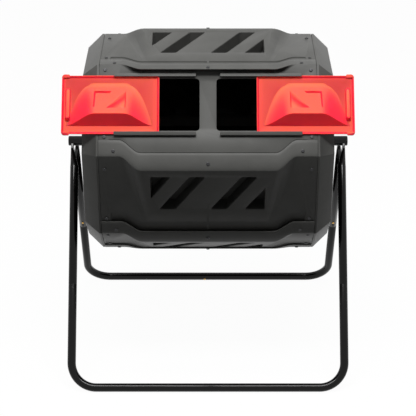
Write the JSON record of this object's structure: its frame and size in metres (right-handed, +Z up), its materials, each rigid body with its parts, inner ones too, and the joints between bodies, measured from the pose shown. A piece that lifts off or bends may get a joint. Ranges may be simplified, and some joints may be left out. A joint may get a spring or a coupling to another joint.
{
  "type": "compost tumbler",
  "caption": "Dual-chamber compost tumbler: black octagonal drum with slanted vents and two red sliding doors, turning on a black tubular steel stand.",
  "frame": {"origin": "on the floor, under the middle of the stand", "axes": "+X along the axle towards the right-hand end, -Y towards the doors, +Z up"},
  "size_m": [0.742, 0.712, 0.8564],
  "materials": {
    "drum_plastic": "fine moulded grain",
    "door_plastic": "satin moulded",
    "cap_plastic": "satin moulded",
    "black_tube": "gloss powder coat",
    "black_screw": "black oxide",
    "zinc_steel": "zinc plated",
    "brass_screw": "yellow zinc plated"
  },
  "bodies": {
    "stand": {"axle_tube": "black_tube", "axle_end_cap_left": "cap_plastic", "axle_end_cap_right": "cap_plastic", "leg_bolts": "zinc_steel", "leg_nuts": "zinc_steel", "leg_spacers": "zinc_steel", "upper_leg_front_left": "black_tube", "upper_leg_front_right": "black_tube", "upper_leg_rear_left": "black_tube", "upper_leg_rear_right": "black_tube", "foot_tube_front_left": "black_tube", "foot_tube_front_right": "black_tube", "foot_tube_rear_left": "black_tube", "foot_tube_rear_right": "black_tube", "leg_joint_screws": "brass_screw", "foot_bar_screws": "brass_screw"},
    "drum": {"door_panel": "drum_plastic", "vent_panel_top": "drum_plastic", "vent_panel_front": "drum_plastic", "vent_panel_front_low": "drum_plastic", "vent_panel_bottom": "drum_plastic", "vent_panel_rear_low": "drum_plastic", "vent_panel_rear": "drum_plastic", "vent_panel_rear_high": "drum_plastic", "end_cover_left_upper": "drum_plastic", "end_cover_left_lower": "drum_plastic", "end_cover_right_upper": "drum_plastic", "end_cover_right_lower": "drum_plastic", "divider_panel": "drum_plastic", "hub_bush_left": "drum_plastic", "hub_bush_right": "drum_plastic", "strip_screws": "black_screw", "edge_screws": "black_screw"},
    "door_left": {"sliding_door_left": "door_plastic"},
    "door_right": {"sliding_door_right": "door_plastic"}
  },
  "joints": [
    {"name": "drum_turn", "type": "hinge", "parent": "stand", "child": "drum", "pos_m": [0, 0, 0.567], "axis": [1, 0, 0], "range_deg": [-170, 70]},
    {"name": "door_left_slide", "type": "slide", "parent": "drum", "child": "door_left", "axis": [1, 0, 0], "range_m": [-0.06, 0.11]},
    {"name": "door_right_slide", "type": "slide", "parent": "drum", "child": "door_right", "axis": [-1, 0, 0], "range_m": [-0.06, 0.11]}
  ]
}
